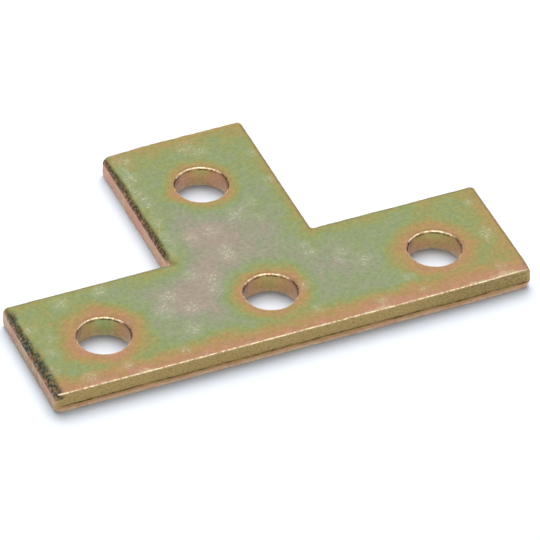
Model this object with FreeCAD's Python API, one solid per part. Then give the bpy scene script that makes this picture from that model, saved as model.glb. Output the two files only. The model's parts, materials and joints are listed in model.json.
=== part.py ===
"""Tee joining plate: one flat steel plate that ties a post to a rail at a right angle.

The plate is blanked from thick bar. Its front edge and the end of its stem are sheared from
below, so they roll over at the underside and break away towards the top. The bar's two ends,
the stem's sides and the shoulders between them are punched from above, so they roll over at
the top. The rolls that face -X are the deep ones. Four bolt holes are punched from above, on
one pitch both ways. Every cut side is one cross-section, run along its side of the outline.

Frame, in millimetres: the origin is on the junction hole's axis at the underside, +X runs
along the bar, +Y runs up the stem and +Z points out of the top face.
"""

import FreeCAD, Part
import os

# ---- driving dimensions, in millimetres ----

PLATE_THICKNESS = 6.35
HOLE_PITCH = 47.6          # junction hole to each end hole of the bar, and to the stem hole
HOLE_DIAMETER = 14.3
BAR_END_MARGIN = 20.6      # end hole to the end of the bar
FRONT_MARGIN = 17.5        # bar holes to the front edge
SHOULDER_MARGIN = 20.4     # bar holes to the shoulders
STEM_WIDTH = 41.0
STEM_END_MARGIN = 21.2     # stem hole to the end of the stem

CRISP_CORNER_RADIUS = 0.6  # in plan, the ends of the sides that face -X
SOFT_CORNER_RADIUS = 0.9   # in plan, the other outer corners
INNER_CORNER_RADIUS = 1.8  # in plan, where the stem meets the shoulders

DEEP_ROLL_RADIUS = 2.2     # top of the punched sides that face -X
LIGHT_ROLL_RADIUS = 1.0    # top of the other punched sides
PUNCH_BREAK_HEIGHT = 1.3   # foot of a punched side, where it breaks away
PUNCH_BREAK_LEAN = 0.2

SHEAR_ROLL_RADIUS = 0.5    # under a sheared side
SHEAR_LAND_HEIGHT = 2.3    # underside to the top of the smooth band
SHEAR_BREAK_LEAN = 0.3     # how far the broken face leans in towards the top
SHEAR_BURR_RADIUS = 0.25

HOLE_LIP_RADIUS = 0.45     # rolled mouth of a hole
HOLE_BREAK_HEIGHT = 2.2    # foot of a hole, where it widens
HOLE_BREAK_LEAN = 0.2

# ---- sizes that follow ----

HOLE_RADIUS = HOLE_DIAMETER / 2
HALF_LENGTH = HOLE_PITCH + BAR_END_MARGIN
HALF_STEM = STEM_WIDTH / 2
STEM_END = HOLE_PITCH + STEM_END_MARGIN
TOOL_PAST = INNER_CORNER_RADIUS / 2  # a cutting shape's run past the plate, less than that radius

UP = FreeCAD.Vector(0, 0, 1)


# ---- cross-sections, as points (inset from the side's outermost line, height) ----

def point(place):
    """A section's point, before the section is stood across its side."""
    return FreeCAD.Vector(place[0], 0, place[1])


def line(start, end):
    """Straight edge between two points of a section."""
    return Part.LineSegment(point(start), point(end)).toShape()


def round_off(start, end, centre):
    """Quarter circle between two points of a section."""
    radius = (point(start) - point(centre)).Length
    to_middle = (point(start) + point(end)) / 2 - point(centre)
    middle = point(centre) + to_middle.normalize() * radius
    return Part.Arc(point(start), middle, point(end)).toShape()


def top_bite(wall, low, high):
    """Closed outline of what a wall lacks at the top face, outside its edges from low up to high."""
    above = (high[0], PLATE_THICKNESS + TOOL_PAST)
    outside_above = (-TOOL_PAST, above[1])
    outside = (-TOOL_PAST, low[1])
    surround = [
        line(high, above), line(above, outside_above), line(outside_above, outside), line(outside, low),
    ]
    return Part.Wire(wall + surround)


def foot_bite(wall, low, high):
    """Closed outline of what a wall lacks at the underside, outside its edges from low up to high."""
    outside = (-TOOL_PAST, high[1])
    outside_below = (-TOOL_PAST, -TOOL_PAST)
    below = (low[0], -TOOL_PAST)
    surround = [
        line(high, outside), line(outside, outside_below), line(outside_below, below), line(below, low),
    ]
    return Part.Wire(wall + surround)


def punched_section(roll_radius):
    """A punched side: it rolls over at the top, and breaks away at the foot."""
    foot = (PUNCH_BREAK_LEAN, 0)
    land_low = (0, PUNCH_BREAK_HEIGHT)
    land_high = (0, PLATE_THICKNESS - roll_radius)
    head = (roll_radius, PLATE_THICKNESS)
    roll_centre = (head[0], land_high[1])
    return [
        foot_bite([line(foot, land_low)], foot, land_low),
        top_bite([round_off(land_high, head, roll_centre)], land_high, head),
    ]


def sheared_section():
    """A sheared side: it rolls over at the foot, and leans in where it broke, up to a small burr radius."""
    foot = (SHEAR_ROLL_RADIUS, 0)
    land_low = (0, SHEAR_ROLL_RADIUS)
    roll_centre = (foot[0], land_low[1])
    land_high = (0, SHEAR_LAND_HEIGHT)
    break_high = (SHEAR_BREAK_LEAN, PLATE_THICKNESS - SHEAR_BURR_RADIUS)
    head = (SHEAR_BREAK_LEAN + SHEAR_BURR_RADIUS, PLATE_THICKNESS)
    burr_centre = (head[0], break_high[1])
    return [
        foot_bite([round_off(foot, land_low, roll_centre)], foot, land_low),
        top_bite([line(land_high, break_high), round_off(break_high, head, burr_centre)], land_high, head),
    ]


# ---- the outline ----

class Corner:
    """A corner of the tee in plan, and the section, foot and top bite, of the cut side that leaves it."""

    def __init__(self, x, y, radius, section, inner=False):
        self.place = FreeCAD.Vector(x, y, 0)
        self.radius = radius
        self.section = section
        self.inner = inner

    def side_gap(self):
        """A side's cut stops at an inner corner's round, and runs past an outer corner."""
        return self.radius if self.inner else -TOOL_PAST

    def arc(self, before, after):
        """The corner's round, from the side coming in along before to the one leaving along after."""
        start = self.place - before * self.radius
        end = self.place + after * self.radius
        centre = start + after * self.radius
        middle = centre + (before - after).normalize() * self.radius
        return Part.Arc(start, middle, end).toShape()


def outline():
    """The tee's corners, counter-clockwise from the front left."""
    deep_roll = punched_section(DEEP_ROLL_RADIUS)
    light_roll = punched_section(LIGHT_ROLL_RADIUS)
    sheared = sheared_section()
    return [
        Corner(-HALF_LENGTH, -FRONT_MARGIN, CRISP_CORNER_RADIUS, sheared),
        Corner(HALF_LENGTH, -FRONT_MARGIN, SOFT_CORNER_RADIUS, light_roll),
        Corner(HALF_LENGTH, SHOULDER_MARGIN, SOFT_CORNER_RADIUS, light_roll),
        Corner(HALF_STEM, SHOULDER_MARGIN, INNER_CORNER_RADIUS, light_roll, inner=True),
        Corner(HALF_STEM, STEM_END, SOFT_CORNER_RADIUS, sheared),
        Corner(-HALF_STEM, STEM_END, CRISP_CORNER_RADIUS, deep_roll),
        Corner(-HALF_STEM, SHOULDER_MARGIN, INNER_CORNER_RADIUS, light_roll, inner=True),
        Corner(-HALF_LENGTH, SHOULDER_MARGIN, CRISP_CORNER_RADIUS, deep_roll),
    ]


def following(items):
    """The items moved on by one, so that each is paired with the next round the outline."""
    return items[1:] + items[:1]


def directions(corners):
    """Unit vector along the side that leaves each corner."""
    return [(after.place - here.place).normalize() for here, after in zip(corners, following(corners))]


# ---- solids ----

def slab(corners):
    """The tee with straight walls and its corners rounded."""
    ways = directions(corners)
    arcs = [corner.arc(ways[number - 1], ways[number]) for number, corner in enumerate(corners)]
    edges = []
    for arc, next_arc in zip(arcs, following(arcs)):
        edges.append(arc)
        edges.append(Part.makeLine(arc.lastVertex().Point, next_arc.firstVertex().Point))
    return Part.Face(Part.Wire(edges)).extrude(UP * PLATE_THICKNESS)


def stood(bite, place, along):
    """A bite's outline stood across a side at a place, with its inset running into the plate."""
    turn = FreeCAD.Rotation(UP.cross(along), -along, UP)
    return bite.transformed(FreeCAD.Placement(place, turn).toMatrix())


def side_waste(here, after, along):
    """What the side from one corner to the next lacks."""
    start = here.place + along * here.side_gap()
    end = after.place - along * after.side_gap()
    return [Part.Face(stood(bite, start, along)).extrude(end - start) for bite in here.section]


def inner_corner_waste(last, here, before, after):
    """What an inner corner lacks: one side's bites turned into the next one's along the round."""
    path = here.arc(before, after)
    waste = []
    for bite_before, bite_after in zip(last.section, here.section):
        sweep = Part.BRepOffsetAPI.MakePipeShell(Part.Wire(path))
        sweep.setFrenetMode(True)
        sweep.add(stood(bite_before, path.firstVertex().Point, before))
        sweep.add(stood(bite_after, path.lastVertex().Point, after))
        sweep.build()
        sweep.makeSolid()
        waste.append(sweep.shape())
    return waste


def edge_waste(corners):
    """What all the cut sides and inner corners lack."""
    ways = directions(corners)
    waste = []
    for number, corner in enumerate(corners):
        last, before = corners[number - 1], ways[number - 1]
        waste += side_waste(last, corner, before)
        if corner.inner:
            waste += inner_corner_waste(last, corner, before, ways[number])
    return waste


def hole_waste(x, y):
    """A punched hole: rolled mouth, straight wall, and a foot that widens where the slug broke out."""
    mouth = (HOLE_RADIUS + HOLE_LIP_RADIUS, PLATE_THICKNESS)
    wall_high = (HOLE_RADIUS, PLATE_THICKNESS - HOLE_LIP_RADIUS)
    wall_low = (HOLE_RADIUS, HOLE_BREAK_HEIGHT)
    foot = (HOLE_RADIUS + HOLE_BREAK_LEAN, 0)
    below = (foot[0], -TOOL_PAST)
    above = (mouth[0], PLATE_THICKNESS + TOOL_PAST)
    axis_low = (0, below[1])
    axis_high = (0, above[1])
    lip_centre = (mouth[0], wall_high[1])
    edges = [
        line(axis_low, below), line(below, foot), line(foot, wall_low), line(wall_low, wall_high),
        round_off(wall_high, mouth, lip_centre), line(mouth, above), line(above, axis_high),
        line(axis_high, axis_low),
    ]
    waste = Part.Face(Part.Wire(edges)).revolve(FreeCAD.Vector(), UP, 360)
    waste.translate(FreeCAD.Vector(x, y, 0))
    return waste


def joining_plate():
    """The finished plate, with three holes along the bar and one up the stem."""
    holes = [
        hole_waste(-HOLE_PITCH, 0), hole_waste(0, 0), hole_waste(HOLE_PITCH, 0), hole_waste(0, HOLE_PITCH),
    ]
    corners = outline()
    return slab(corners).cut(edge_waste(corners) + holes)


os.makedirs("parts", exist_ok=True)
joining_plate().exportStep("parts/joining_plate.step")
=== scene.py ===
"""Tee joining plate: the looks of a sheared and punched steel plate in yellow chromate.

The plate keeps the solid's outline, holes and edge forms, and gains what the solid leaves out:
the torn face of the sheared sides, rolls that vary along their length, and the coating's tints.
"""

import json
import math
from types import SimpleNamespace

import bpy
import numpy as np
from mathutils import Matrix, Vector


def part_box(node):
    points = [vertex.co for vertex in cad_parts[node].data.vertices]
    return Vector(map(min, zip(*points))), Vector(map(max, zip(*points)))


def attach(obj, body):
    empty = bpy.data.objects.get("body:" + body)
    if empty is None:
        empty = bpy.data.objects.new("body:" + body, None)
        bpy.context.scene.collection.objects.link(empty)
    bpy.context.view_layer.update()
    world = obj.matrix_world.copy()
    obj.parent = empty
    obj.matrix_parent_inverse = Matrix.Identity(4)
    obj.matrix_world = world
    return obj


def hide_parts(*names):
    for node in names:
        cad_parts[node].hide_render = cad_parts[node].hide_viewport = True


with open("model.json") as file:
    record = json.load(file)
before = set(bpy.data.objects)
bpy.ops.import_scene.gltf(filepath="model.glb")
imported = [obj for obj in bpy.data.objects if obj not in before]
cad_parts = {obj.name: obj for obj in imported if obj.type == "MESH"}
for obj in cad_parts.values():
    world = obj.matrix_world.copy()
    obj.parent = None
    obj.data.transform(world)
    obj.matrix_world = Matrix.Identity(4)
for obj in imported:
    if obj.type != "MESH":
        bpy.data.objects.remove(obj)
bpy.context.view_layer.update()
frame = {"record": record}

bl_info = {
    "name": "Tee joining plate",
    "version": (1, 0, 0),
    "blender": (4, 5, 0),
    "location": "View3D > Sidebar > Joining plate",
    "description": "Builds a sheared and punched tee plate in yellow chromate, and its studio",
    "category": "Add Mesh",
}

NODE = "joining_plate"
MM = 0.001

# Where the plate's sides are, from the junction hole's axis, and its top face.
(LEFT, FRONT, _), (RIGHT, END, THICKNESS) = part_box(NODE)

# Each hole's axis and radius.
HOLES = {
    mount["name"]: (np.array(mount["pos_m"][:2]), mount["dims"]["r_mm"] * MM)
    for mount in frame["record"]["mounts"] if mount["kind"] == "bore"
}

# Film at each hole: at its mouth, and its growth per millimetre away from it; then down its wall the
# least, how much more there is at its thickest, and where round the hole that is and its spread, in
# degrees.
HOLE_FILM = {
    "left_hole": (0.13, 0.085, 0.18, 0.46, 72, 45), "junction_hole": (0.15, 0.11, 0.05, 0.38, 62, 45),
    "right_hole": (0.13, 0.095, 0.02, 0.60, 62, 52), "stem_hole": (0.20, 0.13, 0.02, 0.50, 73, 26),
}

# Grey-pink blooms of thicker film in the middle of the top face: x, y and radius, in millimetres.
BLOOM_FILM = 0.20
BLOOMS = [(-5, 26, 9), (-24, 4, 8), (-14, 12, 7), (-10, 28, 3), (-5, 29, 3), (-20, 6, 4)]

# Tongues of thinner, redder film beside the holes: x, y and radius, in millimetres.
TONGUE_FILM = -0.16
TONGUES = [
    (-46.5, 11, 2.8), (50.5, 11, 2.8), (-56, -3, 4), (-47, -9, 3.5), (-9, 46, 2.5), (60, -9, 4), (41, -8, 3),
]

# Places where the top face is scuffed grey-white: x, y and radius, in millimetres.
SCUFFS = [
    (-53.5, 16.5, 2.2), (-42, 17, 2.2), (-61, 4, 1.6), (-63, -1, 1.8), (-57, -14, 2.2), (-46, -13, 1.6),
    (-30, -13, 1.5), (-25, -6, 2.6), (-29, 3, 3.0), (-26, 8, 2.6), (-22, 2, 2.6), (-17, 14, 2.2),
    (-13, 7, 2.4), (-12, 11, 2.2), (-5, 18, 2.6), (16, 14.5, 1.4), (16, 11, 1.8), (9, -1, 1.6),
    (24, 8, 1.8), (22, 5.5, 1.2), (28, 3, 2.4), (36.5, -8, 1.5), (38, -14, 1.2), (26, -14, 1.8),
    (9, -11, 1.6), (63, 1, 2.2), (61, -13, 1.6), (64, 14, 1.4), (-16, 64, 2.2), (-17, 57, 2.4),
    (-17, 47, 2.0), (2, 63, 2.6), (5, 61, 2.2), (9.5, 36, 1.6), (9, 29.5, 1.4), (4, 33, 2.4),
    (-11, 28, 2.4), (-5, 29, 2.6), (-5, 20.5, 2.2), (-17, 38, 1.8), (18, 55, 1.4), (18, 43, 1.4),
    (-65, 9, 1.8), (-65, -8, 1.8),
]

# The tints that the coating runs through as its film thickens, from a scraped wall to the middle
# of the top face: film, then red, green and blue.
TINTS = [
    (-0.30, (0.600, 0.285, 0.180)),
    (-0.12, (0.610, 0.450, 0.280)),
    (0.00, (0.538, 0.286, 0.181)),
    (0.20, (0.492, 0.284, 0.142)),
    (0.35, (0.462, 0.310, 0.124)),
    (0.50, (0.396, 0.334, 0.127)),
    (0.62, (0.337, 0.356, 0.136)),
    (0.75, (0.309, 0.366, 0.171)),
    (0.88, (0.314, 0.361, 0.205)),
    (1.00, (0.352, 0.352, 0.242)),
    (1.15, (0.407, 0.337, 0.262)),
]
THINNEST, THICKEST = -0.3, 1.2
GRAIN_MEAN = 0.52   # of the three grains added to the film

# The sides' numbers, counter-clockwise from the front.
(
    FRONT_EDGE, RIGHT_END, RIGHT_SHOULDER, STEM_RIGHT, STEM_END, STEM_LEFT, LEFT_SHOULDER, LEFT_END,
) = range(8)
DEEP_SIDES = (STEM_LEFT, LEFT_END)
INNER_CORNERS = (STEM_RIGHT, LEFT_SHOULDER)   # the sides that start at one

# Film by side. On the top face, from the right end on: at the side, and its growth per millimetre away
# from it. On the wall, from the front on.
SIDE_FILM = [
    (0.33, 0.045), (0.50, 0.045), (0.38, 0.085), (0.44, 0.035), (0.56, 0.060), (0.50, 0.055), (0.52, 0.040),
]
WALL_FILM = np.array([-0.14, -0.12, -0.10, -0.05, -0.10, -0.28, -0.10, -0.13])

# Random seeds of the sides' unevenness; a punched side adds its own number to the last two.
SHEARED_SEEDS = {FRONT_EDGE: 11, STEM_END: 23}
WANDER_SEED, RAGGED_SEED = 31, 51

ARC_POINTS = 9   # on each rounded corner of the outline
LATTICE = 256   # random numbers each way, after which unevenness repeats

# Small forms of the edges that the settings leave out.
LAND_WANDER = 0.10 * MM   # of the smooth band's upper edge, up and down
RAGGED_BURR = 0.14 * MM   # of the burr, in and out
FOOT_ROUND_HEIGHT = 2.6 * MM   # up to which the front corners' feet are rounded
INNER_TIGHTENING = 0.45   # share of its radius that an inner corner loses from foot to top
DIP_REACH = 4.4 * MM   # from the bent corner to where the dip ends
DIP_DEPTH = 2.4 * MM   # down to which the dip reaches
UNDER_LIP_ROWS = (0.18, 0.48)   # rows of points below a hole's lip, in millimetres
WALL_ROWS_START = 4.7 * MM   # height of the next row down a hole's wall

# The room's lights and cards: angle from +Y towards +X, height angle, and the inner and outer angle
# of the soft edge, all in degrees. Each card takes its share of the room's brightness away.
CEILING = (120, 76, 6, 34)
WINDOW = (204, 54, 12, 28)
OVERHEAD = (20, 62, 8, 38)
CARDS = [((-46, 14, 16, 36), 0.42), ((72, 3, 12, 30), 0.4)]

# Scratches on the top face: where each starts and ends, and its half width, in millimetres.
SCRATCHES = [
    ((1.4, 31), (4.6, 33), 0.60), ((5.6, 34.2), (8, 35.6), 0.35), ((4.6, 33), (5.6, 34.2), 0.25),
    ((15, 13), (16.6, 16), 0.50), ((-31, 1.5), (-28, 6), 0.35), ((-42.5, 15.5), (-40.5, 19), 0.40),
    ((-55, 15.5), (-51.5, 17.5), 0.50), ((-14, 9), (-11, 13), 0.30), ((63.5, 4), (62, -3), 0.35),
    ((-5.5, 18.5), (-2.5, 21), 0.40), ((-19, 52), (-17.5, 57), 0.30), ((-18.5, 31), (-17.6, 35), 0.25),
]


def number(name, description, default, **more):
    """A number property, with more of its settings, such as a unit."""
    return bpy.props.FloatProperty(name=name, description=description, default=default, **more)


def distance(name, description, default):
    """A length property in metres."""
    return number(name, description, default, unit="LENGTH")


def angle(name, description, degrees):
    """An angle property."""
    return number(name, description, math.radians(degrees), subtype="ANGLE")


def colour(name, description, default):
    """A colour property."""
    return bpy.props.FloatVectorProperty(
        name=name, description=description, default=default, subtype="COLOR", size=3, min=0, max=1
    )


class PlateSettings(bpy.types.PropertyGroup):
    """Sizes of the plate that its box and holes don't give."""

    stem_width: distance("Stem width", "Width of the stem", 41.0 * MM)
    shoulder: distance("Shoulder", "From the bar's holes to its shoulders", 20.4 * MM)
    crisp_radius: distance("Crisp corner", "Plan radius beside the sides that face -X", 0.6 * MM)
    soft_radius: distance("Soft corner", "Plan radius of the other outer corners", 0.9 * MM)
    inner_radius: distance("Inner corner", "Plan radius where stem meets shoulder", 1.8 * MM)
    deep_roll: distance("Deep roll", "Radius over the sides that face -X", 2.2 * MM)
    light_roll: distance("Light roll", "Radius over the other punched sides", 1.0 * MM)
    punch_break: distance("Punched foot", "Height of a punched side's break-away", 1.3 * MM)
    punch_lean: distance("Punched foot lean", "How far that foot leans in", 0.2 * MM)
    shear_roll: distance("Sheared foot", "Radius under a sheared side", 0.5 * MM)
    shear_land: distance("Smooth band", "Height of a sheared side's smooth band", 2.1 * MM)
    shear_lean: distance("Torn face lean", "How far the torn face leans in", 0.3 * MM)
    shear_burr: distance("Burr", "Radius at the top of the torn face", 0.25 * MM)
    crack_depth: distance("Crack", "Depth of the line over the smooth band", 0.14 * MM)
    end_setback: distance("End setback", "How far a sheared side's far end is set back", 0.25 * MM)
    torn_depth: distance("Torn relief", "Relief of the torn face", 0.07 * MM)
    lip: distance("Hole lip", "Radius of a hole's rolled mouth", 0.45 * MM)
    hole_break: distance("Hole foot", "Height at which a hole starts to widen", 2.5 * MM)
    hole_lean: distance("Hole foot lean", "How far a hole widens", 0.45 * MM)
    foot_round: distance("Foot rounding", "Extra plan radius under the two front corners", 2.0 * MM)
    corner_dip: distance("Corner dip", "How far the front right corner is bent down", 0.14 * MM)
    step: distance("Point spacing", "Spacing of points round the outline", 0.44 * MM)
    rows: bpy.props.IntProperty(
        name="Top rows", description="Rows of points from the outline in to a hole", default=18, min=1
    )


class CoatingSettings(bpy.types.PropertyGroup):
    """Colours of the coating away from the top face's tints."""

    torn: colour("Torn face", "Olive brown of the torn face", (0.450, 0.335, 0.138))
    # Dark brown painted as shade in the crack's groove over the smooth band.
    crack: colour("Crack", "Dark line over the smooth band", (0.055, 0.030, 0.010))
    # Dark brown painted for shade and dark reflections on the rolls, walls and hole lips, with some real dark
    # speckle.
    smoke_and_shade: colour("Smoke", "Dark speckle on the deep rolls", (0.100, 0.072, 0.040))
    tarnish: colour("Tarnish", "Blue-green patches of that speckle", (0.055, 0.075, 0.062))
    # Pale gold of real burnish on lips and burrs, also painted as highlights on the lips, the burr, the
    # sheared foot and the holes' feet, and used for pale flecks in scuffs.
    worn_and_highlight: colour("Worn", "Pale gold where lips and burrs are burnished", (0.860, 0.780, 0.520))
    scuff: colour("Scuff", "Grey-white of scuffs and scratches", (0.520, 0.520, 0.400))
    roughness: number("Roughness", "Roughness of the plain coating", 0.36)


class StudioSettings(bpy.types.PropertyGroup):
    """The camera and the light round the plate."""

    azimuth: angle("Azimuth", "Camera's angle round the plate", -24.263)
    elevation: angle("Elevation", "Camera's height angle", 40.537)
    roll: angle("Roll", "Turn of the camera about its own line of sight", 1.647)
    reach: distance("Distance", "From the camera to the point that it looks at", 1.612)
    aim: bpy.props.FloatVectorProperty(
        name="Aim", description="Point that the camera looks at", default=(4.8 * MM, 11.55 * MM, 3.175 * MM)
    )
    lens: number("Lens", "Focal length in millimetres", 403.4)
    floor_width: distance("Floor", "Width of the floor", 6.0)
    level: number("Level", "Brightness of the room in a reflection", 1.0)
    ceiling: number("Ceiling", "Extra brightness of the ceiling in a reflection", 0.6)
    overhead: number("Overhead", "Brightness of the soft light overhead", 5.6)
    window: number("Window", "Extra brightness of the window above the camera in a reflection", 1.6)
    floor_share: number("Floor share", "How far the floor is plain white in a reflection", 0.5)
    around: number("Around", "Brightness of the soft light all round", 0.38)


# ---- shape helpers: whole arrays, lengths in metres ----

def unevenness(u, v, seed):
    """Smooth random heights from -1 to 1: random numbers at whole u and v, with smooth steps between."""
    lattice = np.random.default_rng(seed).uniform(-1, 1, (LATTICE, LATTICE))
    u, v = np.broadcast_arrays(u, v)
    column, row = np.floor(u).astype(int), np.floor(v).astype(int)
    across, up = u - column, v - row
    across, up = across * across * (3 - 2 * across), up * up * (3 - 2 * up)
    column, beside = column % LATTICE, (column + 1) % LATTICE
    near, far = (
        lattice[column, place % LATTICE] * (1 - across) + lattice[beside, place % LATTICE] * across
        for place in (row, row + 1)
    )
    return near * (1 - up) + far * up


def ramp(value, start, end):
    """0 before start, 1 after end and a smooth step between."""
    t = np.clip((value - start) / (end - start), 0, 1)
    return t * t * (3 - 2 * t)


def bell(value, width):
    """1 at 0, and less on both sides: e to the power of minus the square of value over width."""
    return np.exp(-((value / width) ** 2))


def quarter(height, radius):
    """Inset of a quarter circle at a height above its foot: 0 at the foot, and its radius at the top."""
    t = np.clip(height / radius, 0, 1)
    return radius * (1 - np.sqrt(1 - t * t))


def levels(plate):
    """Heights of the band's rows, closest together where the foot, the crack and the rolls curve most."""
    foot = plate.shear_roll * (1 - np.cos(np.linspace(0, math.pi / 2, 5)))
    land = np.linspace(plate.shear_roll, plate.shear_land, 6)[1:-1]
    crack = plate.shear_land + np.linspace(-0.18, 0.48, 8) * MM
    deep_foot = THICKNESS - plate.deep_roll
    torn = np.linspace(crack[-1], deep_foot, 7)[1:-1]
    rise = np.sin(np.linspace(0, math.pi / 2, 16))
    return np.concatenate([foot, land, crack, torn, deep_foot + plate.deep_roll * rise])


def punched_inset(plate, height, roll):
    """A punched side's inset: a foot that leans in below, a straight wall and a quarter-circle roll above."""
    foot = plate.punch_lean * np.clip(1 - height / plate.punch_break, 0, 1)
    return foot + quarter(height - (THICKNESS - roll), roll)


def land_top(plate, along, seed):
    """Height of the smooth band's upper edge, which wanders a little along the side."""
    wander = unevenness(along / (7 * MM), 0, seed) + 0.5 * unevenness(along / (1.6 * MM), 0, seed + 5)
    return plate.shear_land + LAND_WANDER * wander


def sheared_inset(plate, height, along, length, seed):
    """A sheared side's inset: rolled foot, smooth band, crack, and a torn face that leans in, unevenly."""
    foot = quarter(plate.shear_roll - height, plate.shear_roll)
    land = land_top(plate, along, seed)
    above = height - land
    torn = ramp(above, 0, 0.3 * MM)
    bow = 0.15 + 0.85 * ramp(along / length, 0.7, 1)
    lean = plate.shear_lean * bow * np.clip(above / (THICKNESS - plate.shear_burr - land), 0, 1)
    setback = plate.end_setback * ramp(along, length - 14 * MM, length)
    crack = plate.crack_depth * bell(above - 0.12 * MM, 0.13 * MM)
    grain = (
        unevenness(along / (0.8 * MM), height / (0.9 * MM), seed + 1)
        + 0.6 * unevenness(along / (0.45 * MM), height / (0.7 * MM), seed + 2)
    )
    relief = plate.torn_depth * (0.8 + 0.5 * grain) * torn * ramp(THICKNESS - height, 0, 0.5 * MM)
    burr = quarter(height - (THICKNESS - plate.shear_burr), plate.shear_burr)
    ragged = 0.5 + 0.5 * unevenness(along / (1.1 * MM), 0, seed + 3)
    burr = burr + RAGGED_BURR * ragged * ramp(height, THICKNESS - 0.6 * MM, THICKNESS)
    return foot + lean + setback + crack + relief + burr


# ---- the plate's sides ----

def side_list(plate):
    """Where each side starts, counter-clockwise from the front, as (x, y, corner radius)."""
    half, shoulder = plate.stem_width / 2, plate.shoulder
    crisp, soft, inner = plate.crisp_radius, plate.soft_radius, plate.inner_radius
    return [
        (LEFT, FRONT, crisp), (RIGHT, FRONT, soft), (RIGHT, shoulder, soft), (half, shoulder, inner),
        (half, END, soft), (-half, END, crisp), (-half, shoulder, inner), (LEFT, shoulder, crisp),
    ]


def side_inset(plate, number, along, length, height):
    """Inset of one side over its length (columns) and the heights (rows)."""
    if number in SHEARED_SEEDS:
        return sheared_inset(plate, height, along, length, SHEARED_SEEDS[number])
    wander = unevenness(along / (5 * MM), 0, WANDER_SEED + number)
    roll = plate.light_roll * (1 + 0.08 * wander)
    if number in DEEP_SIDES:
        ragged = unevenness(along / (1.3 * MM), 0, RAGGED_SEED + number)
        roll = plate.deep_roll * (0.96 + 0.06 * wander + 0.05 * ragged)
    if number == LEFT_END:
        roll = roll * (0.45 + 0.55 * ramp(length - along, 0, 3.5 * MM))
    if number == RIGHT_END:
        roll = roll * (1 + 0.5 * ramp(4 * MM - along, 0, 4 * MM))
    return punched_inset(plate, height, roll)


def inward_of(way):
    """A side's inward direction, a quarter turn counter-clockwise from the way that it runs."""
    return np.array([-way[1], way[0]])


def band_grid(plate):
    """The outer wall as heights (rows) by places round the outline (columns).

    At each height the outline is the tee with every side moved in by its inset there, and its corners
    rounded: an arc about each corner, then points spread evenly to the next one. Returns the points,
    each column's side, and the column at which each arc and each straight stretch begins.
    """
    sides = np.array(side_list(plate))
    starts, radii_in_plan = sides[:, :2], sides[:, 2]
    runs = np.roll(starts, -1, axis=0) - starts
    lengths = np.linalg.norm(runs, axis=1)
    ways = runs / lengths[:, None]
    height = levels(plate)[:, None]
    counts = [max(8, round(length / plate.step)) for length in lengths]
    shares = [np.linspace(0, 1, count)[None, :] for count in counts]
    insets = [side_inset(plate, n, shares[n] * lengths[n], lengths[n], height) for n in range(len(sides))]
    corners, radii = [], []
    for n, radius in enumerate(radii_in_plan):
        before, after = insets[n - 1][:, -1:], insets[n][:, :1]
        corners.append(starts[n] + before * inward_of(ways[n - 1]) + after * inward_of(ways[n]))
        at_front = n in (FRONT_EDGE, RIGHT_END)
        rounding = plate.foot_round * np.clip(1 - height / FOOT_ROUND_HEIGHT, 0, 1) ** 1.5 * at_front
        rising = radius * (1 - INNER_TIGHTENING * height / THICKNESS)
        radii.append(rising if n in INNER_CORNERS else radius + rounding)
    turn = np.linspace(0, math.pi / 2, ARC_POINTS)[None, :, None]
    plan, side_of = [], []
    for n in range(len(sides)):
        following = (n + 1) % len(sides)
        last_way, way = ways[n - 1], ways[n]
        start = corners[n] + way * radii[n]
        finish = corners[following] - way * radii[following]
        centre = corners[n] - last_way * radii[n] + way * radii[n]
        arc = centre[:, None] + radii[n][:, None] * (last_way * np.sin(turn) - way * np.cos(turn))
        share = shares[n][:, 1:-1]
        straight_inset = insets[n][:, :1] * (1 - share) + insets[n][:, -1:] * share
        bulge = insets[n][:, 1:-1] - straight_inset
        line = start[:, None] * (1 - share[..., None]) + finish[:, None] * share[..., None]
        plan += [arc, line + bulge[..., None] * inward_of(way)]
        side_of += [np.full(arc.shape[1], n), np.full(share.shape[1], n)]
    plan = np.concatenate(plan, axis=1)
    height = np.broadcast_to(height, plan.shape[:2])
    grid = np.concatenate([plan, height[..., None]], axis=2)
    begins = np.cumsum([0] + [len(part) for part in side_of])
    return grid, np.concatenate(side_of), begins


def quads(index):
    """Faces between neighbouring rows and columns of a grid of point numbers, with the columns closed up."""
    here, beside = index, np.roll(index, -1, axis=1)
    return np.stack([here[:-1], beside[:-1], beside[1:], here[1:]], axis=-1).reshape(-1, 4)


def hole_rows(plate, radius):
    """A hole's profile as (radius, height): the rolled mouth, the straight wall, and the foot that widens."""
    turn = np.linspace(0, math.pi / 2, 6)
    mouth = np.stack([
        radius + plate.lip * (1 - np.sin(turn)), THICKNESS - plate.lip * (1 - np.cos(turn)),
    ], axis=1)
    below_lip = THICKNESS - plate.lip - np.array(UNDER_LIP_ROWS) * MM
    heights = np.append(below_lip, np.linspace(WALL_ROWS_START, plate.hole_break, 3))
    wall = np.stack([np.full(len(heights), radius), heights], axis=1)
    foot = np.stack([
        radius + plate.hole_lean * np.array([0.5, 1]), plate.hole_break * np.array([0.5, 0]),
    ], axis=1)
    return np.concatenate([mouth, wall, foot])


def sheet_rows(plate, top, bottom, centre, radius):
    """Rows from the top outline in to the hole, down its wall, and out to the outline of the underside.

    Each column keeps its own direction from the hole's axis. Between an outline and a hole the points
    are spread evenly, a little closer at both ends.
    """
    offset = top[:, :2] - centre
    way = offset / np.linalg.norm(offset, axis=1, keepdims=True)
    hole = [
        np.concatenate([centre + way * r, np.full((len(way), 1), z)], axis=1)
        for r, z in hole_rows(plate, radius)
    ]
    share = np.linspace(0, 1, plate.rows + 1)[1:-1]
    share = (share + (1 - np.cos(math.pi * share)) / 2) / 2
    inwards = [top * (1 - t) + hole[0] * t for t in share]
    outwards = [hole[-1] * (1 - t) + bottom * t for t in (0.3, 0.7)]
    return np.stack(inwards + hole + outwards)


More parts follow.
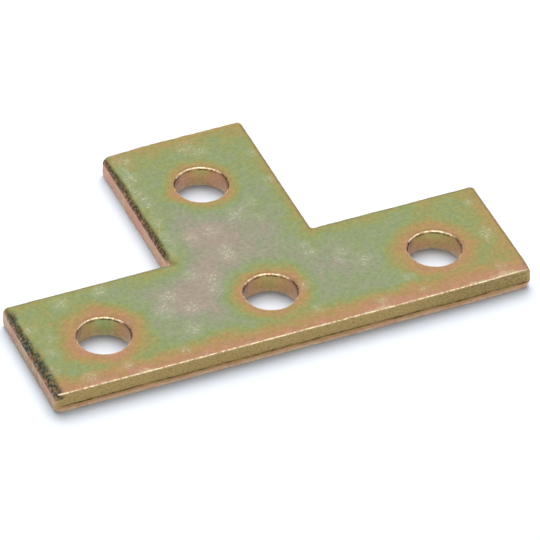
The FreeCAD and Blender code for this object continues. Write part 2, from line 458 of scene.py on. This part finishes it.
def plate_surface(plate):
    """The whole closed surface: the band round the outline, and a sheet with a hole for each of four cells.

    The cells meet on straight seams from the front edge to the middles of the inner corners, and
    across between these. A cell's rim follows the outline from its first corner to its second, and
    seams from there back to the first. Returns the points, the band's first, the faces, the side of
    each of the band's columns, and how many rows the band has.
    """
    band, side_of, begins = band_grid(plate)
    rows, columns = band.shape[:2]
    total = rows * columns
    numbers = np.arange(total).reshape(rows, columns)
    points, faces = [band.reshape(-1, 3)], [quads(numbers)]

    front, half = np.arange(begins[1], begins[2]), plate.stem_width / 2
    front_left, front_right = (front[np.argmin(np.abs(band[-1, front, 0] - x))] for x in (-half, half))
    inner_right, inner_left = (begins[2 * n] + ARC_POINTS // 2 for n in INNER_CORNERS)

    seams = {}
    for ends in [(front_left, inner_left), (front_right, inner_right), (inner_right, inner_left)]:
        count = round(np.linalg.norm(band[-1, ends[0]] - band[-1, ends[1]]) / plate.step)
        share = np.linspace(0, 1, count + 1)[1:-1, None]
        points += [band[row, ends[0]] * (1 - share) + band[row, ends[1]] * share for row in (-1, 0)]
        above = total + np.arange(count - 1)
        below = above + count - 1
        total += 2 * (count - 1)
        seams[ends] = (above, below)
        seams[ends[::-1]] = (above[::-1], below[::-1])

    cells = {
        "left_hole": [inner_left, front_left],
        "junction_hole": [front_left, front_right, inner_right, inner_left],
        "right_hole": [front_right, inner_right],
        "stem_hole": [inner_right, inner_left],
    }
    for name, corners in cells.items():
        first, second = corners[:2]
        outline = np.arange(first, second if second > first else second + columns) % columns
        top, bottom = [numbers[-1, outline]], [numbers[0, outline]]
        for start, finish in zip(corners[1:], corners[2:] + corners[:1]):
            above, below = seams[start, finish]
            top += [numbers[-1, [start]], above]
            bottom += [numbers[0, [start]], below]
        top, bottom, made = (np.concatenate(parts) for parts in (top, bottom, points))
        rings = sheet_rows(plate, made[top], made[bottom], *HOLES[name])
        inside = total + np.arange(rings.shape[0] * rings.shape[1]).reshape(rings.shape[:2])
        points.append(rings.reshape(-1, 3))
        total += inside.size
        faces.append(quads(np.concatenate([top[None], inside, bottom[None]])))
    return np.concatenate(points), np.concatenate(faces), side_of, rows


# ---- where the coating's tints and wear lie ----

def reach(x, y, start, end):
    """Distance of points from the straight stretch between two places, in millimetres."""
    run = end - start
    along = np.clip(((x - start[0]) * run[0] + (y - start[1]) * run[1]) / (run @ run), 0, 1)
    return np.hypot(x - start[0] - along * run[0], y - start[1] - along * run[1]) / MM


def round_the_holes(x, y, z):
    """Where points lie round the nearest hole, and the film that the holes allow.

    Returns the distance from that hole's wall in millimetres, the angle round its axis, the film down
    its wall there, and for each hole the film beside its mouth.
    """
    near_hole, around, bore_film = np.full_like(x, 1e9), np.zeros_like(x), np.zeros_like(x)
    beside = []
    for name, (base, growth, least, more, thickest_at, width) in HOLE_FILM.items():
        axis, radius = HOLES[name]
        from_rim = (np.hypot(x - axis[0], y - axis[1]) - radius) / MM
        angle_round = np.arctan2(y - axis[1], x - axis[0])
        turned = (np.degrees(angle_round) - thickest_at + 180) % 360 - 180
        made = least + more * (0.6 + 0.4 * ramp(z, 1.5 * MM, 5.0 * MM)) * bell(turned, width)
        bore_film = np.where(from_rim < near_hole, made, bore_film)
        around = np.where(from_rim < near_hole, angle_round, around)
        near_hole = np.minimum(near_hole, from_rim)
        beside.append(base + growth * from_rim)
    return near_hole, around, bore_film, beside


def places(plate, points, side_of, rows):
    """All that the marks go by: where each point lies, with distances from edges in millimetres.

    The band's points come first, so band is a slice, and side and height are its points' own.
    """
    x, y, z = points.T
    at = SimpleNamespace(x=x, y=y, z=z, half=plate.stem_width / 2, shoulder=plate.shoulder)
    at.near_hole, at.around, at.bore_film, at.beside_holes = round_the_holes(x, y, z)
    at.band = slice(0, rows * len(side_of))
    at.side, at.height = np.tile(side_of, rows), z[at.band]
    at.cloud = (
        unevenness(x / (6 * MM) + 40, y / (6 * MM) + 40, 5)
        + 0.5 * unevenness(x / (2.2 * MM) + 90, y / (2.2 * MM) + 90, 6)
    )
    starts = np.array(side_list(plate))[:, :2]
    at.from_side = [reach(x, y, *ends) for ends in zip(starts, np.roll(starts, -1, axis=0))]
    return at


def near_top(height, deep, shallow):
    """0 further than deep below the top face, easing to 1 at shallow, both in millimetres."""
    return ramp(height, THICKNESS - deep * MM, THICKNESS - shallow * MM)


def film_marks(at):
    """The coating's film: thin at the edges and holes, thick in the middle, and thinner still on the walls.

    On the top face it is the softened least of what each edge and hole allows: a base at the edge,
    and a growth per millimetre away from it, with a plateau in the middle.
    """
    x, y = at.x, at.y
    from_front = at.from_side[FRONT_EDGE] - 1.0 * ramp(x, 8 * MM, 32 * MM) + 0.9 * at.cloud
    allowed = [
        0.095 * from_front,
        *(base + growth * away for (base, growth), away in zip(SIDE_FILM, at.from_side[RIGHT_END:])),
        *at.beside_holes,
        0.64 + 0.36 * bell(np.hypot(x, y - 9 * MM) / MM, 44),
    ]
    softness = 0.035
    film = -softness * np.log(sum(np.exp(-(value + 0.025 * at.cloud) / softness) for value in allowed))
    for strength, spots in ((BLOOM_FILM, BLOOMS), (TONGUE_FILM, TONGUES)):
        for spot_x, spot_y, radius in spots:
            away = (x - spot_x * MM) ** 2 + (y - spot_y * MM) ** 2
            film += strength * np.exp(-away / (radius * MM) ** 2)

    in_hole = (at.near_hole < 0.5) & (at.z < THICKNESS - 0.3 * MM)
    film = np.where(in_hole, at.bore_film + 0.06 * at.cloud, film)
    band, side, height = at.band, at.side, at.height
    patchiness = np.where(np.isin(side, DEEP_SIDES), 0.20, 0.05)
    wall_film = WALL_FILM[side] + patchiness * at.cloud[band]
    wall_film += (side == FRONT_EDGE) * 0.45 * ramp(height, 0.9 * MM, 2.0 * MM)
    top_share = near_top(height, 1.3, 0.3)
    film[band] = wall_film * (1 - top_share) + film[band] * top_share
    return film


def sheared_marks(plate, at):
    """How far each point is torn; on the crack, whose dark colour is painted shade in its groove; and pale at
    the burr, by burnish and painted highlight, and at the foot of a sheared side, by painted highlight.
    """
    x, side, height = at.x[at.band], at.side, at.height
    from_corner = at.y[at.band] - FRONT
    sheared = np.where(side == FRONT_EDGE, ramp(x - LEFT, 0.6 * MM, 1.1 * MM), 0.0) + (side == STEM_END)
    sheared += (side == RIGHT_END) * (1 - ramp(from_corner, 0.7 * MM, 1.0 * MM))
    land = np.where(
        side == STEM_END,
        land_top(plate, at.half - x, SHEARED_SEEDS[STEM_END]),
        land_top(plate, x - LEFT, SHEARED_SEEDS[FRONT_EDGE]),
    )
    broken = 0.70 + 0.20 * at.cloud[at.band] + 0.20 * unevenness(x / (1.3 * MM) + 60, 0, 8)

    torn, crack, worn_and_highlight = np.zeros_like(at.x), np.zeros_like(at.x), np.zeros_like(at.x)
    torn[at.band] = sheared * ramp(height - land, 0, 0.2 * MM) * (1 - near_top(height, 0.45, 0.2))
    # Painted shade: the crack's groove is darkened in colour, broken along its length.
    crack[at.band] = sheared * bell(height - land - 0.05 * MM, 0.25 * MM)
    crack[at.band] *= ramp(x - LEFT, 0.5 * MM, 3 * MM) * np.clip(broken, 0, 1)
    # Burnish and painted highlight along the burr.
    worn_and_highlight[at.band] = sheared * near_top(height, 0.35, 0.2) * (height < THICKNESS - 0.002 * MM)
    worn_and_highlight[at.band] *= np.where(side == STEM_END, ramp(at.half - x, 0.6 * MM, 3 * MM), 1.0)
    # Painted highlight on the sheared side's rolled foot.
    worn_and_highlight[at.band] += 0.5 * sheared * (1 - ramp(height, 0.3 * MM, 1.1 * MM))
    return torn, crack, worn_and_highlight


def turned_to(at, degrees, start, end):
    """1 on the side of a hole that lies in a direction, easing from 0; start and end are cosines."""
    return ramp(np.cos(at.around - math.radians(degrees)), start, end)


def hole_marks(plate, at):
    """Painted light in and round the holes: painted dark reflections on the lip's right and left sides and on
    the top face just outside it at the back right, painted shade in dashes under the lip and low on the wall,
    and painted highlights, partly real burnish, on the rest of the lip and on the wall's foot.
    """
    on_lip = (at.near_hole < plate.lip / MM - 0.01) & (at.z > THICKNESS - 0.42 * MM)
    facing_left = turned_to(at, -8, 0.80, 0.95)
    facing_right = ramp(-np.cos(at.around + math.radians(27)), 0.93, 0.99)
    # Painted dark reflection on the lip's right and left sides.
    dark_reflection_on_lip = on_lip * np.maximum(0.75 * facing_left, 0.8 * facing_right)
    # Painted shade in dashes under the lip at the back.
    shade_under_lip = bell(THICKNESS - plate.lip - 0.16 * MM - at.z, 0.20 * MM) * (at.near_hole < 0.02)
    shade_under_lip *= turned_to(at, 100, 0.1, 0.5) * ramp(unevenness(at.around * 8, 0, 12), -0.5, 0.2)
    on_wall = at.near_hole < 0.5
    # Painted shade low on the wall at the back left.
    shady = on_wall * (at.z < THICKNESS - 0.5 * MM) * (0.30 * turned_to(at, 150, 0.80, 0.95))
    # Painted dark reflection on the top face just outside the lip at the back right.
    dark_reflection_fringe = turned_to(at, 55, 0.0, 0.6) * (at.near_hole > 0.4) * (1 - ramp(at.near_hole, 0.7, 1.7))
    dark_reflection_fringe = 0.30 * dark_reflection_fringe * near_top(at.z, 0.5, 0.1)
    smoke_and_shade = np.maximum.reduce([dark_reflection_on_lip, shade_under_lip, shady, dark_reflection_fringe])

    # Painted highlight, partly real burnish, on the rest of the lip, and painted highlight on the wall's foot
    # at the back right.
    bright_lip = on_lip * near_top(at.z, 0.42, 0.25) * (1 - dark_reflection_on_lip)
    bright_foot = on_wall * (1 - ramp(at.z, 0.3 * MM, 2.0 * MM)) * (0.4 * turned_to(at, 45, 0.1, 0.9))
    return smoke_and_shade, np.maximum(bright_lip, bright_foot)


def edge_shade_and_smoke(at, torn, worn_and_highlight):
    """Painted dark reflection on the sides, with some real dark speckle: over the deep rolls, and weaker on
    the light rolls; painted shade on two walls, darker towards the left end's foot; and real dark speckle on
    the torn face.
    """
    # Painted dark reflection over the deep rolls, with real dark speckle in it.
    past_corner = at.shoulder - at.y
    width = 2.8 + 1.1 * ramp(past_corner, 6 * MM, 34 * MM) + 0.5 * at.cloud
    fading = 0.35 + 0.65 * ramp(past_corner, 1.5 * MM, 5 * MM)
    on_left = (1 - ramp(at.from_side[LEFT_END], 0.7, width)) * fading
    width = 1.1 + 1.0 * ramp(END - at.y, 0, 14 * MM) + 0.4 * at.cloud
    on_stem_left = (1 - ramp(at.from_side[STEM_LEFT], 0.2, width)) * ramp(at.y - at.shoulder, 0, 6 * MM)
    smoke_and_shade = np.maximum(on_left, on_stem_left) * near_top(at.z, 2.1, 1.5)

    band, side, height = at.band, at.side, at.height
    light_rolls = np.isin(side, (RIGHT_END, RIGHT_SHOULDER, STEM_RIGHT, LEFT_SHOULDER))
    below_roll = height < THICKNESS - 2 * MM
    low = 1 - ramp(height, 0.5 * MM, 4 * MM)
    # Painted dark reflection along the tops of the light rolls.
    smoke_and_shade[band] = np.maximum(smoke_and_shade[band], 0.30 * light_rolls * near_top(height, 0.9, 0.5))
    smoke_and_shade[band] *= 1 - 0.9 * np.clip(worn_and_highlight[band] * (side == FRONT_EDGE), 0, 1)
    for more in (
        # Painted shade low on the left end and on the stem's left wall, darker towards the left end's foot.
        (side == LEFT_END) * (0.27 + 0.13 * low) * below_roll,
        (side == STEM_LEFT) * 0.20 * below_roll,
        0.30 * torn[band] * (side == FRONT_EDGE) * ramp(at.x[band], 20 * MM, 52 * MM),
    ):
        smoke_and_shade[band] = np.maximum(smoke_and_shade[band], more)
    return smoke_and_shade


def scuff_marks(at):
    """Scuffs on the top face: soft round ones, and a patchy band beside the roll at the stem's left."""
    scuff = np.zeros_like(at.x)
    for scuff_x, scuff_y, radius in SCUFFS:
        scuff = np.maximum(scuff, bell(np.hypot(at.x / MM - scuff_x, at.y / MM - scuff_y), radius))
    patchy = ramp(unevenness(at.x / (1.8 * MM) + 20, at.y / (1.8 * MM) + 20, 9), -0.6, 0.5)
    on_stem = ramp(at.y - at.shoulder, 0, 3 * MM)
    beside_roll = bell(at.from_side[STEM_LEFT] - 3.1, 1.5) * on_stem * patchy
    return np.maximum(scuff, beside_roll) * near_top(at.z, 0.6, 0)


def plate_marks(plate, points, side_of, rows):
    """Film, painted shade and dark reflection with some real speckle, tarnish, torn, the crack's painted
    shade, wear with painted highlights, and scuff for every point, from its place on the plate.
    """
    at = places(plate, points, side_of, rows)
    torn, crack, worn_and_highlight = sheared_marks(plate, at)
    hole_painted_shade, hole_highlight = hole_marks(plate, at)
    return {
        "film": film_marks(at),
        "smoke_and_shade": np.maximum(edge_shade_and_smoke(at, torn, worn_and_highlight), hole_painted_shade),
        "tarnish": 1 - ramp(at.from_side[LEFT_END], 6, 12),
        "torn": torn,
        "crack": crack,
        "worn_and_highlight": np.maximum(worn_and_highlight, hole_highlight),
        "scuff": scuff_marks(at),
    }


def lower_corner(plate, points):
    """The front right corner bent down: a facet that drops evenly past a slanting line, most at the top."""
    out = (RIGHT - points[:, 0] + points[:, 1] - FRONT) / DIP_REACH
    drop = np.clip(1 - out, 0, 1) ** 1.2
    upper = ramp(points[:, 2], THICKNESS - DIP_DEPTH, THICKNESS)
    points[:, 2] -= plate.corner_dip * drop * upper
    return points


# ---- materials ----

def add_node(tree, kind, **settings):
    """A shader node with its settings; in_NUMBER or in_NAME gives an input its value, or its link."""
    made = tree.nodes.new("ShaderNode" + kind)
    for key, value in settings.items():
        if not key.startswith("in_"):
            setattr(made, key, value)
            continue
        name = key[3:]
        socket = made.inputs[int(name) if name.isdigit() else name.replace("_", " ")]
        if isinstance(value, bpy.types.NodeSocket):
            tree.links.new(value, socket)
        else:
            socket.default_value = value
    return made


def calculate(tree, operation, first, second=0.0, third=0.0, clamp=False):
    """The result of a Math node on sockets or numbers."""
    return add_node(
        tree, "Math", operation=operation, use_clamp=clamp, in_0=first, in_1=second, in_2=third,
    ).outputs[0]


def times(tree, first, second):
    """The product of two sockets or numbers."""
    return calculate(tree, "MULTIPLY", first, second)


def scaled(tree, value, factor, offset):
    """A value times a factor, plus an offset, each a socket or a number."""
    return calculate(tree, "MULTIPLY_ADD", value, factor, offset)


def on_vectors(tree, operation, result, first, second):
    """A Vector Math node's result, named Vector or Value, on sockets or vectors."""
    return add_node(tree, "VectorMath", operation=operation, in_0=first, in_1=second).outputs[result]


def smooth_step(tree, value, start, end, low=0.0, high=1.0):
    """The result of a Map Range node that eases from low to high as value goes from start to end."""
    return add_node(
        tree, "MapRange", interpolation_type="SMOOTHSTEP",
        in_0=value, in_1=start, in_2=end, in_3=low, in_4=high,
    ).outputs[0]


def blend(tree, share, first, second, kind="MIX"):
    """The result of a Mix node of a kind on two colours, each a socket or a plain colour."""
    first, second = (
        paint if isinstance(paint, bpy.types.NodeSocket) else (*paint, 1) for paint in (first, second)
    )
    return add_node(
        tree, "Mix", data_type="RGBA", blend_type=kind, in_0=share, in_6=first, in_7=second,
    ).outputs[2]


def share_between(tree, share, first, second):
    """The result of a Mix node on two numbers, each a socket or a plain number."""
    return add_node(tree, "Mix", data_type="FLOAT", in_0=share, in_2=first, in_3=second).outputs[0]


def grain(tree, place, scale, detail=2.0, roughness=0.5):
    """The value of a Noise node over a place."""
    return add_node(
        tree, "TexNoise", in_Vector=place, in_Scale=scale, in_Detail=detail, in_Roughness=roughness,
    ).outputs["Fac"]


def stretched(tree, place, scale, degrees=0):
    """A place scaled, then turned about Z: grain over it is drawn out along an axis with a small scale."""
    return add_node(
        tree, "Mapping", in_Vector=place, in_Rotation=(0, 0, math.radians(degrees)), in_Scale=scale,
    ).outputs[0]


def dots(tree, place, spacing, kept, size):
    """1 on small scattered dots: one to each cell of a spacing, in the share of the cells that is kept."""
    cells = add_node(tree, "TexVoronoi", in_Vector=place, in_Scale=1 / spacing).outputs
    dot = smooth_step(tree, cells["Distance"], 0.5 * size / spacing, size / spacing, 1.0, 0.0)
    chance = add_node(tree, "SeparateColor", in_0=cells["Color"]).outputs[0]
    return times(tree, dot, calculate(tree, "LESS_THAN", chance, kept))


def stroke(tree, place, start, end, half_width):
    """1 on the stroke between two places on the top face, easing to 0 at its half width; in millimetres."""
    start = Vector((*start, 0)) * MM
    run = Vector((*end, 0)) * MM - start
    flat = on_vectors(tree, "MULTIPLY", "Vector", place, (1, 1, 0))
    offset = on_vectors(tree, "SUBTRACT", "Vector", flat, start)
    along = on_vectors(tree, "DOT_PRODUCT", "Value", offset, run / run.length_squared)
    share = calculate(tree, "ADD", along, 0.0, clamp=True)
    foot = add_node(tree, "VectorMath", operation="SCALE", in_0=run, in_Scale=share)
    apart = on_vectors(tree, "DISTANCE", "Value", offset, foot.outputs[0])
    return smooth_step(tree, apart, 0.3 * half_width * MM, half_width * MM, 1.0, 0.0)


def film_tint(tree, film):
    """The coating's tint for a film with its grains added."""
    span = THICKEST - THINNEST
    share = scaled(tree, film, 1 / span, (-THINNEST - GRAIN_MEAN) / span)
    tint = add_node(tree, "ValToRGB", in_0=share)
    stops = tint.color_ramp.elements
    while len(stops) < len(TINTS):
        stops.new(0.5)
    for stop, (thickness, paint) in zip(stops, TINTS):
        stop.position = (thickness - THINNEST) / span
        stop.color = (*paint, 1)
    return tint.outputs[0]


def scuffs_and_flecks(tree, place, mark):
    """Shares of the surface that is scuffed or scratched grey-white, and that is flecked with pale gold."""
    scratch = grain(tree, stretched(tree, place, (0.05, 1, 1), -38), 2600.0, 1.0)
    scratch = scaled(tree, grain(tree, place, 90.0, 1.0), 0.3, scratch)
    scratch = smooth_step(tree, scratch, 0.88, 0.98, 0.0, 0.30)
    haze = scaled(tree, grain(tree, place, 1100.0, 2.0, 0.6), 0.7, -0.12)
    haze = calculate(tree, "MULTIPLY", haze, mark, clamp=True)
    pale = times(tree, dots(tree, place, 1.9 * MM, 0.35, 0.28 * MM), 0.4)
    scuff = calculate(tree, "MAXIMUM", scratch, calculate(tree, "MAXIMUM", haze, pale))
    broken = smooth_step(tree, grain(tree, place, 1700.0, 2.0), 0.40, 0.60, 0.10, 0.60)
    for ends in SCRATCHES:
        marked = times(tree, stroke(tree, place, *ends), broken)
        scuff = calculate(tree, "MAXIMUM", scuff, marked)

    scuffed = smooth_step(tree, mark, 0.10, 0.80, 0.0, 0.80)
    flecks = times(tree, dots(tree, place, 0.75 * MM, 0.42, 0.24 * MM), scuffed)
    ticks = grain(tree, stretched(tree, place, (0.35, 1, 1), 20), 2300.0, 1.5)
    ticks = smooth_step(tree, ticks, 0.56, 0.72, 0.0, 0.55)
    flecks = calculate(tree, "MAXIMUM", flecks, times(tree, ticks, scuffed))
    return scuff, flecks


def speckled_shade_and_smoke(tree, place, mark):
    """Share of the surface painted dark for shade and dark reflection, with some real speckle: pitted, with
    sparks of the coating left in it.
    """
    pits = smooth_step(tree, grain(tree, place, 1050.0, 3.0, 0.7), 0.40, 0.56, 0.45, 1.0)
    darkened = times(tree, smooth_step(tree, mark, 0.0, 0.8), pits)
    sparks = times(tree, dots(tree, place, 0.8 * MM, 0.30, 0.22 * MM), 0.55)
    return times(tree, darkened, calculate(tree, "SUBTRACT", 1.0, sparks))


def coated_steel(coating):
    """Yellow chromate over zinc: metal tinted by its film, with painted shade and dark reflections over some
    real speckle, tears, wear with painted highlights, painted shade in the crack, scuffs and scratches.
    """
    material = bpy.data.materials.new("yellow_chromate")
    material.use_nodes = True
    tree = material.node_tree
    shader = tree.nodes["Principled BSDF"]
    place = add_node(tree, "TexCoord").outputs["Object"]
    marks = {
        name: add_node(tree, "Attribute", attribute_name=name).outputs["Fac"]
        for name in ("film", "smoke_and_shade", "tarnish", "torn", "crack", "worn_and_highlight", "scuff")
    }
    coarse = grain(tree, place, 160.0, 3.0)
    fine = grain(tree, place, 1100.0, 3.0, 0.6)
    speckle = grain(tree, place, 2600.0, 2.0, 0.6)

    film = scaled(tree, coarse, 0.50, marks["film"])
    film = scaled(tree, grain(tree, place, 520.0, 3.0, 0.65), 0.40, film)
    film = scaled(tree, fine, 0.14, film)
    mottle = scaled(tree, grain(tree, place, 900.0, 3.0, 0.75), 0.68, 0.66)
    base = blend(tree, 1.0, film_tint(tree, film), mottle, "MULTIPLY")
    scuff, flecks = scuffs_and_flecks(tree, place, marks["scuff"])
    base = blend(tree, scuff, base, coating.scuff)
    base = blend(tree, flecks, base, coating.worn_and_highlight)

    streaks = grain(tree, stretched(tree, place, (0.6, 0.6, 1)), 2400.0, 3.0, 0.65)
    torn_dark = tuple(0.5 * part for part in coating.torn)
    torn_paint = blend(tree, smooth_step(tree, streaks, 0.40, 0.75), coating.torn, torn_dark)
    base = blend(tree, marks["torn"], base, torn_paint)
    # Painted shade in the crack's groove.
    base = blend(tree, marks["crack"], base, coating.crack)
    beads = smooth_step(tree, grain(tree, place, 1300.0, 2.0, 0.6), 0.35, 0.60)
    # Pale gold of real burnish, plus painted highlights on lips, burr and feet.
    base = blend(tree, times(tree, marks["worn_and_highlight"], beads), base, coating.worn_and_highlight)

    # Painted shade and dark reflections, with some real speckle, darken the colour here.
    darkened = speckled_shade_and_smoke(tree, place, marks["smoke_and_shade"])
    patches = times(tree, smooth_step(tree, grain(tree, place, 330.0, 2.0), 0.42, 0.58), marks["tarnish"])
    base = blend(tree, darkened, base, blend(tree, patches, coating.smoke_and_shade, coating.tarnish))
    tree.links.new(base, shader.inputs["Base Color"])

    dull = scaled(tree, coarse, 0.16, coating.roughness - 0.08)
    dull = scaled(tree, marks["torn"], 0.16, dull)
    dull = scaled(tree, darkened, 0.12, dull)
    tree.links.new(dull, shader.inputs["Roughness"])
    shader.inputs["Metallic"].default_value = 1.0

    lift = calculate(tree, "MAXIMUM", marks["smoke_and_shade"], marks["worn_and_highlight"])
    lift = calculate(tree, "MAXIMUM", marks["torn"], lift)
    bump = add_node(
        tree, "Bump", in_Distance=0.05 * MM, in_Strength=scaled(tree, lift, 0.6, 0.25),
        in_Height=scaled(tree, speckle, 0.5, fine),
    )
    tree.links.new(bump.outputs[0], shader.inputs["Normal"])
    return material


def white_floor(studio):
    """A matt white floor that keeps the shadow on it, and is partly plain white in a reflection."""
    material = bpy.data.materials.new("white_floor")
    material.use_nodes = True
    tree = material.node_tree
    shader = tree.nodes["Principled BSDF"]
    shader.inputs["Base Color"].default_value = (0.75, 0.79, 0.85, 1)
    shader.inputs["Roughness"].default_value = 1.0
    shader.inputs["Specular IOR Level"].default_value = 0.0
    plain = add_node(tree, "Emission", in_Color=(1, 1, 1, 1), in_Strength=1.0)
    mirrored = add_node(tree, "LightPath").outputs["Is Glossy Ray"]
    share = times(tree, mirrored, studio.floor_share)
    mixed = add_node(tree, "MixShader", in_0=share, in_1=shader.outputs[0], in_2=plain.outputs[0])
    tree.links.new(mixed.outputs[0], tree.nodes["Material Output"].inputs["Surface"])
    return material


def facing(tree, azimuth, elevation, inner, outer):
    """1 within the inner angle of a direction, easing to 0 at the outer angle, all in degrees.

    The direction is at an angle from +Y towards +X, and at a height angle.
    """
    azimuth, elevation, inner, outer = np.radians([azimuth, elevation, inner, outer]).tolist()
    flat = math.cos(elevation)
    direction = (math.sin(azimuth) * flat, math.cos(azimuth) * flat, math.sin(elevation))
    where = add_node(tree, "TexCoord").outputs["Generated"]
    near = on_vectors(tree, "DOT_PRODUCT", "Value", where, direction)
    return smooth_step(tree, near, math.cos(outer), math.cos(inner))


def studio_world(studio):
    """A plain white room, and the soft light that falls from overhead, a little from the back, on the floor.

    Looked at, or in a reflection, the room is white, with a brighter ceiling, a window above the
    camera and dark cards low at the back left and at the right. What is matt gets its light from a
    wide patch overhead and a little from all round, straight or off the metal.
    """
    world = bpy.data.worlds.new("studio")
    world.use_nodes = True
    tree = world.node_tree
    backdrop = tree.nodes["Background"]
    backdrop.inputs["Color"].default_value = (1, 1, 1, 1)
    room = scaled(tree, facing(tree, *CEILING), studio.ceiling, studio.level)
    room = scaled(tree, facing(tree, *WINDOW), studio.window, room)
    for card, darkness in CARDS:
        room = times(tree, room, scaled(tree, facing(tree, *card), -darkness, 1.0))
    light = scaled(tree, facing(tree, *OVERHEAD), studio.overhead, studio.around)
    rays = add_node(tree, "LightPath").outputs
    plain = calculate(tree, "MAXIMUM", rays["Is Camera Ray"], rays["Is Transmission Ray"])
    mirrored = calculate(tree, "SUBTRACT", rays["Is Glossy Ray"], rays["Diffuse Depth"], clamp=True)
    strength = share_between(tree, mirrored, light, room)
    tree.links.new(share_between(tree, plain, strength, 1.0), backdrop.inputs["Strength"])
    world.cycles.sampling_method = "NONE"
    return world


# ---- operators ----

class PlateBuilder(bpy.types.Operator):
    """Builds the tee plate with its sheared and punched edges, holes and coating."""

    bl_idname = "joining_plate.build_plate"
    bl_label = "Build the plate"

    def execute(self, context):
        """Makes the mesh, its marks and its material, in place of the solid."""
        plate = context.scene.plate_settings
        points, faces, side_of, rows = plate_surface(plate)
        marks = plate_marks(plate, points, side_of, rows)
        points = lower_corner(plate, points)
        mesh = bpy.data.meshes.new("tee_plate")
        mesh.from_pydata(points, [], faces)
        if mesh.validate():
            raise RuntimeError("the plate's mesh had faces that don't join up")
        for name, values in marks.items():
            layer = mesh.attributes.new(name, "FLOAT", "POINT")
            layer.data.foreach_set("value", values)
        mesh.shade_smooth()
        mesh.set_sharp_from_angle(angle=math.radians(38))
        mesh.materials.append(coated_steel(context.scene.coating_settings))
        piece = bpy.data.objects.new("tee_plate", mesh)
        context.scene.collection.objects.link(piece)
        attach(piece, "root")
        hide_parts(NODE)
        return {"FINISHED"}


class StudioBuilder(bpy.types.Operator):
    """Builds the floor, the light and the camera."""

    bl_idname = "joining_plate.build_studio"
    bl_label = "Build the studio"

    def execute(self, context):
        """Makes the stage and sets the scene's camera."""
        scene, studio = context.scene, context.scene.studio_settings
        half = studio.floor_width / 2
        mesh = bpy.data.meshes.new("floor")
        corners = [(-half, -half, 0), (half, -half, 0), (half, half, 0), (-half, half, 0)]
        mesh.from_pydata(corners, [], [(0, 1, 2, 3)])
        mesh.materials.append(white_floor(studio))
        floor = bpy.data.objects.new("floor", mesh)
        scene.collection.objects.link(floor)
        scene.world = studio_world(studio)

        lens = bpy.data.cameras.new("camera")
        lens.lens, lens.sensor_width = studio.lens, 36.0
        lens.clip_start, lens.clip_end = 0.01, 50.0
        camera = bpy.data.objects.new("camera", lens)
        turn, tilt = studio.azimuth, studio.elevation
        back = Vector((math.sin(turn) * math.cos(tilt), -math.cos(turn) * math.cos(tilt), math.sin(tilt)))
        level_right = Vector((math.cos(turn), math.sin(turn), 0))
        level_up = back.cross(level_right)
        right = level_right * math.cos(studio.roll) + level_up * math.sin(studio.roll)
        up = level_up * math.cos(studio.roll) - level_right * math.sin(studio.roll)
        axes = Matrix((right, up, back)).transposed().to_4x4()
        camera.matrix_world = Matrix.Translation(Vector(studio.aim) + back * studio.reach) @ axes
        scene.collection.objects.link(camera)
        scene.camera = camera
        scene.view_settings.view_transform = "Standard"
        return {"FINISHED"}


class JoiningPlatePanel(bpy.types.Panel):
    """Lists the builders and their sizes in the sidebar."""

    bl_idname = "VIEW3D_PT_joining_plate"
    bl_label = "Joining plate"
    bl_space_type = "VIEW_3D"
    bl_region_type = "UI"
    bl_category = "Joining plate"

    def draw(self, context):
        """Shows each operator with its settings under it."""
        for operator, group in (
            (PlateBuilder, "plate_settings"), (None, "coating_settings"), (StudioBuilder, "studio_settings"),
        ):
            settings = getattr(context.scene, group)
            if operator:
                self.layout.operator(operator.bl_idname)
            column = self.layout.column(align=True)
            for name in settings.__annotations__:
                column.prop(settings, name)


CLASSES = (PlateSettings, CoatingSettings, StudioSettings, PlateBuilder, StudioBuilder, JoiningPlatePanel)


def register():
    """Registers the classes and hangs the settings on the scene."""
    for made in CLASSES:
        bpy.utils.register_class(made)
    bpy.types.Scene.plate_settings = bpy.props.PointerProperty(type=PlateSettings)
    bpy.types.Scene.coating_settings = bpy.props.PointerProperty(type=CoatingSettings)
    bpy.types.Scene.studio_settings = bpy.props.PointerProperty(type=StudioSettings)


def unregister():
    """Takes the settings and the classes away again."""
    del bpy.types.Scene.studio_settings
    del bpy.types.Scene.coating_settings
    del bpy.types.Scene.plate_settings
    for made in reversed(CLASSES):
        bpy.utils.unregister_class(made)


def main():
    """Builds the plate and its studio."""
    register()
    bpy.ops.joining_plate.build_plate()
    bpy.ops.joining_plate.build_studio()


if __name__ == "__main__":
    main()
